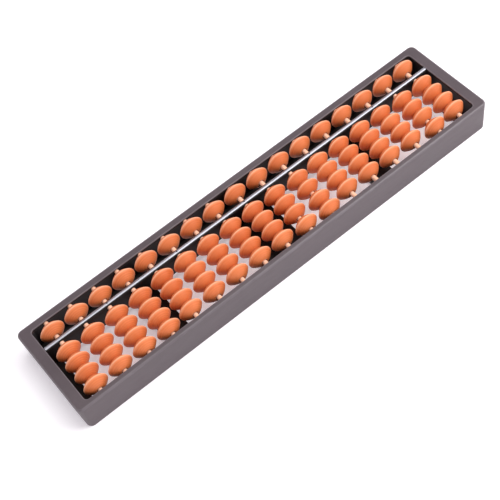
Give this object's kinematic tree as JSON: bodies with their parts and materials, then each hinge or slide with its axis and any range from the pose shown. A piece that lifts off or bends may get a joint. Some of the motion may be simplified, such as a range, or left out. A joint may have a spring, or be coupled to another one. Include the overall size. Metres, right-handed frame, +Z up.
{
  "type": "abacus",
  "caption": "Japanese-style counting abacus: a shallow dark frame with a beam, thin rods, and biconical beads that slide along them, one above the beam and a stack below it on each rod.",
  "frame": {"origin": "middle of the face it rests on", "axes": "+X along the length, towards the right-hand column; +Y from the lower beads to the upper beads; +Z up"},
  "size_m": [0.2712, 0.0602, 0.0236],
  "materials": {
    "frame_grey": "satin dark warm grey",
    "frame_black": "satin black",
    "beam_strip": "brushed, with small dark unit dots",
    "rods": "smooth pale orange",
    "beads": "satin orange-brown, finely turned"
  },
  "bodies": {
    "frame": {"outer_frame": "frame_grey", "inner_frame": "frame_black", "beam": "frame_black", "beam_strip": "beam_strip", "cross_plate_1": "frame_black", "cross_plate_2": "frame_black", "cross_plate_3": "frame_black", "rod_01": "rods", "rod_02": "rods", "rod_03": "rods", "rod_04": "rods", "rod_05": "rods", "rod_06": "rods", "rod_07": "rods", "rod_08": "rods", "rod_09": "rods", "rod_10": "rods", "rod_11": "rods", "rod_12": "rods", "rod_13": "rods", "rod_14": "rods", "rod_15": "rods", "rod_16": "rods", "rod_17": "rods"},
    "upper_bead_01": {"upper_bead_01": "beads"},
    "lower_beads_01": {"lower_beads_01": "beads"},
    "upper_bead_02": {"upper_bead_02": "beads"},
    "lower_beads_02": {"lower_beads_02": "beads"},
    "upper_bead_03": {"upper_bead_03": "beads"},
    "lower_beads_03": {"lower_beads_03": "beads"},
    "upper_bead_04": {"upper_bead_04": "beads"},
    "lower_beads_04": {"lower_beads_04": "beads"},
    "upper_bead_05": {"upper_bead_05": "beads"},
    "lower_beads_05": {"lower_beads_05": "beads"},
    "upper_bead_06": {"upper_bead_06": "beads"},
    "lower_beads_06": {"lower_beads_06": "beads"},
    "upper_bead_07": {"upper_bead_07": "beads"},
    "lower_beads_07": {"lower_beads_07": "beads"},
    "upper_bead_08": {"upper_bead_08": "beads"},
    "lower_beads_08": {"lower_beads_08": "beads"},
    "upper_bead_09": {"upper_bead_09": "beads"},
    "lower_beads_09": {"lower_beads_09": "beads"},
    "upper_bead_10": {"upper_bead_10": "beads"},
    "lower_beads_10": {"lower_beads_10": "beads"},
    "upper_bead_11": {"upper_bead_11": "beads"},
    "lower_beads_11": {"lower_beads_11": "beads"},
    "upper_bead_12": {"upper_bead_12": "beads"},
    "lower_beads_12": {"lower_beads_12": "beads"},
    "upper_bead_13": {"upper_bead_13": "beads"},
    "lower_beads_13": {"lower_beads_13": "beads"},
    "upper_bead_14": {"upper_bead_14": "beads"},
    "lower_beads_14": {"lower_beads_14": "beads"},
    "upper_bead_15": {"upper_bead_15": "beads"},
    "lower_beads_15": {"lower_beads_15": "beads"},
    "upper_bead_16": {"upper_bead_16": "beads"},
    "lower_beads_16": {"lower_beads_16": "beads"},
    "upper_bead_17": {"upper_bead_17": "beads"},
    "lower_beads_17": {"lower_beads_17": "beads"}
  },
  "joints": [
    {"name": "upper_bead_01_slide", "type": "slide", "parent": "frame", "child": "upper_bead_01", "axis": [0, -1, 0], "range_m": [-0.0024, 0.0018]},
    {"name": "lower_beads_01_slide", "type": "slide", "parent": "frame", "child": "lower_beads_01", "axis": [0, 1, 0], "range_m": [-0.0013, 0.0026]},
    {"name": "upper_bead_02_slide", "type": "slide", "parent": "frame", "child": "upper_bead_02", "axis": [0, -1, 0], "range_m": [-0.0024, 0.0018]},
    {"name": "lower_beads_02_slide", "type": "slide", "parent": "frame", "child": "lower_beads_02", "axis": [0, 1, 0], "range_m": [-0.0013, 0.0026]},
    {"name": "upper_bead_03_slide", "type": "slide", "parent": "frame", "child": "upper_bead_03", "axis": [0, -1, 0], "range_m": [-0.0024, 0.0018]},
    {"name": "lower_beads_03_slide", "type": "slide", "parent": "frame", "child": "lower_beads_03", "axis": [0, 1, 0], "range_m": [-0.0013, 0.0026]},
    {"name": "upper_bead_04_slide", "type": "slide", "parent": "frame", "child": "upper_bead_04", "axis": [0, -1, 0], "range_m": [-0.0024, 0.0018]},
    {"name": "lower_beads_04_slide", "type": "slide", "parent": "frame", "child": "lower_beads_04", "axis": [0, 1, 0], "range_m": [-0.0013, 0.0026]},
    {"name": "upper_bead_05_slide", "type": "slide", "parent": "frame", "child": "upper_bead_05", "axis": [0, -1, 0], "range_m": [-0.0017, 0.0025]},
    {"name": "lower_beads_05_slide", "type": "slide", "parent": "frame", "child": "lower_beads_05", "axis": [0, 1, 0], "range_m": [-0.0026, 0.0013]},
    {"name": "upper_bead_06_slide", "type": "slide", "parent": "frame", "child": "upper_bead_06", "axis": [0, -1, 0], "range_m": [-0.0017, 0.0025]},
    {"name": "lower_beads_06_slide", "type": "slide", "parent": "frame", "child": "lower_beads_06", "axis": [0, 1, 0], "range_m": [-0.0026, 0.0013]},
    {"name": "upper_bead_07_slide", "type": "slide", "parent": "frame", "child": "upper_bead_07", "axis": [0, -1, 0], "range_m": [-0.0017, 0.0025]},
    {"name": "lower_beads_07_slide", "type": "slide", "parent": "frame", "child": "lower_beads_07", "axis": [0, 1, 0], "range_m": [-0.0026, 0.0013]},
    {"name": "upper_bead_08_slide", "type": "slide", "parent": "frame", "child": "upper_bead_08", "axis": [0, -1, 0], "range_m": [-0.0017, 0.0025]},
    {"name": "lower_beads_08_slide", "type": "slide", "parent": "frame", "child": "lower_beads_08", "axis": [0, 1, 0], "range_m": [-0.0026, 0.0013]},
    {"name": "upper_bead_09_slide", "type": "slide", "parent": "frame", "child": "upper_bead_09", "axis": [0, -1, 0], "range_m": [-0.001, 0.0032]},
    {"name": "lower_beads_09_slide", "type": "slide", "parent": "frame", "child": "lower_beads_09", "axis": [0, 1, 0], "range_m": [-0.0026, 0.0013]},
    {"name": "upper_bead_10_slide", "type": "slide", "parent": "frame", "child": "upper_bead_10", "axis": [0, -1, 0], "range_m": [-0.001, 0.0032]},
    {"name": "lower_beads_10_slide", "type": "slide", "parent": "frame", "child": "lower_beads_10", "axis": [0, 1, 0], "range_m": [-0.0013, 0.0013]},
    {"name": "upper_bead_11_slide", "type": "slide", "parent": "frame", "child": "upper_bead_11", "axis": [0, -1, 0], "range_m": [-0.001, 0.0032]},
    {"name": "lower_beads_11_slide", "type": "slide", "parent": "frame", "child": "lower_beads_11", "axis": [0, 1, 0], "range_m": [-0.0004, 0.0022]},
    {"name": "upper_bead_12_slide", "type": "slide", "parent": "frame", "child": "upper_bead_12", "axis": [0, -1, 0], "range_m": [-0.001, 0.0032]},
    {"name": "lower_beads_12_slide", "type": "slide", "parent": "frame", "child": "lower_beads_12", "axis": [0, 1, 0], "range_m": [-0.0038, 0.00085]},
    {"name": "upper_bead_13_slide", "type": "slide", "parent": "frame", "child": "upper_bead_13", "axis": [0, -1, 0], "range_m": [-0.001, 0.0032]},
    {"name": "lower_beads_13_slide", "type": "slide", "parent": "frame", "child": "lower_beads_13", "axis": [0, 1, 0], "range_m": [-0.0038, 0.00085]},
    {"name": "upper_bead_14_slide", "type": "slide", "parent": "frame", "child": "upper_bead_14", "axis": [0, -1, 0], "range_m": [-0.001, 0.0032]},
    {"name": "lower_beads_14_slide", "type": "slide", "parent": "frame", "child": "lower_beads_14", "axis": [0, 1, 0], "range_m": [-0.0038, 0.00085]},
    {"name": "upper_bead_15_slide", "type": "slide", "parent": "frame", "child": "upper_bead_15", "axis": [0, -1, 0], "range_m": [-0.001, 0.0032]},
    {"name": "lower_beads_15_slide", "type": "slide", "parent": "frame", "child": "lower_beads_15", "axis": [0, 1, 0], "range_m": [-0.0038, 0.00085]},
    {"name": "upper_bead_16_slide", "type": "slide", "parent": "frame", "child": "upper_bead_16", "axis": [0, -1, 0], "range_m": [-0.001, 0.0032]},
    {"name": "lower_beads_16_slide", "type": "slide", "parent": "frame", "child": "lower_beads_16", "axis": [0, 1, 0], "range_m": [-0.0013, 0.0018]},
    {"name": "upper_bead_17_slide", "type": "slide", "parent": "frame", "child": "upper_bead_17", "axis": [0, -1, 0], "range_m": [-0.001, 0.0032]},
    {"name": "lower_beads_17_slide", "type": "slide", "parent": "frame", "child": "lower_beads_17", "axis": [0, 1, 0], "range_m": [-0.0026, 0.0013]}
  ]
}
